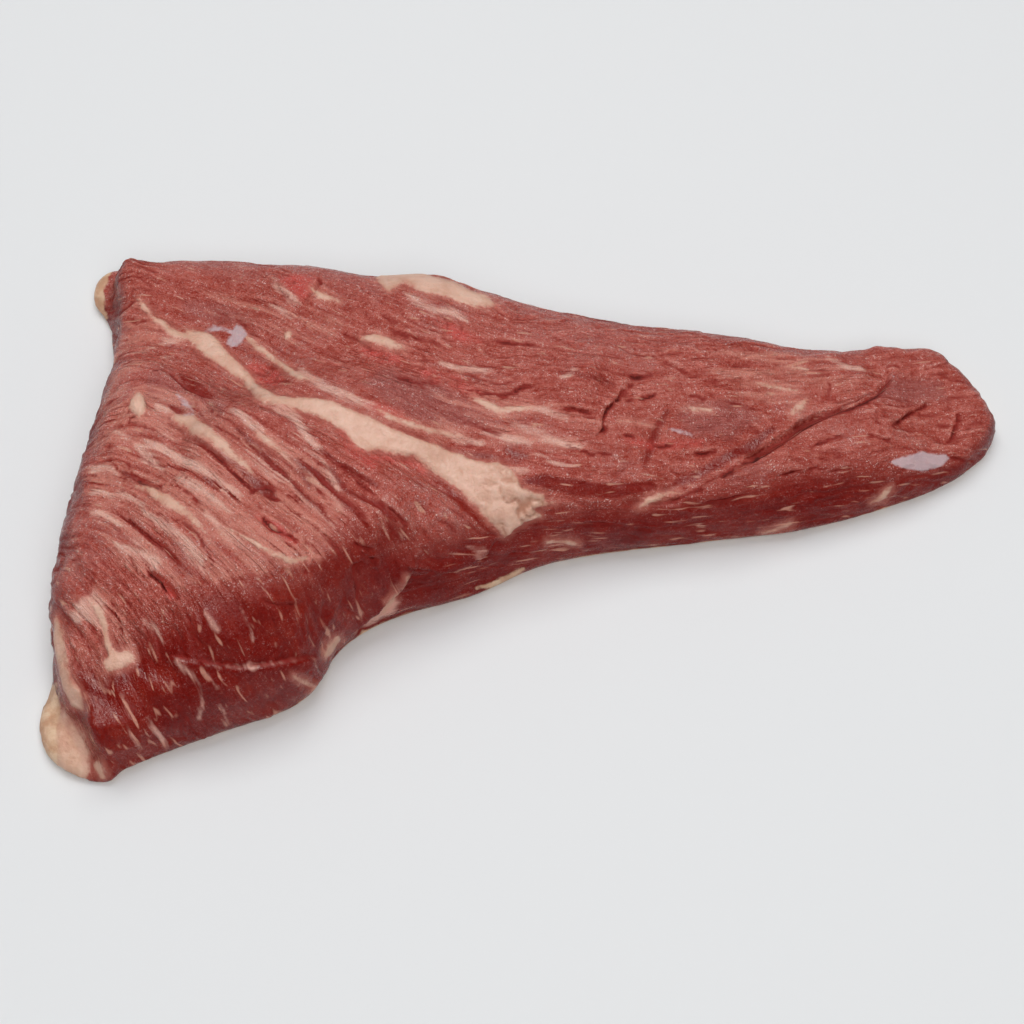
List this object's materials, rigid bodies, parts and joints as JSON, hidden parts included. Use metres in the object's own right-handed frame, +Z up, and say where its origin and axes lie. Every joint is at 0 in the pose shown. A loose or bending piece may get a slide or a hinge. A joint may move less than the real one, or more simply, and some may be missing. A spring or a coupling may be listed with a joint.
{
  "type": "raw beef tri-tip",
  "caption": "Raw beef tri-tip lying on its fat side: thick ridged wide end with a fat seam, narrow folded tail, and thin fat tabs at two corners.",
  "frame": {"origin": "on the floor, under the middle of the part's bounding box", "axes": "+X from the wide end towards the tip, +Y from the front edge towards the back edge, +Z up from the fat side it lies on"},
  "size_m": [0.296, 0.1852, 0.0504],
  "materials": {
    "lean_and_fat": "wet raw beef: deep red lean with a broad soft sheen, cream marbling, a cream seam of fat and yellow-cream fat at the corners and below"
  },
  "bodies": {
    "root": {"tri_tip": "lean_and_fat"}
  },
  "joints": []
}
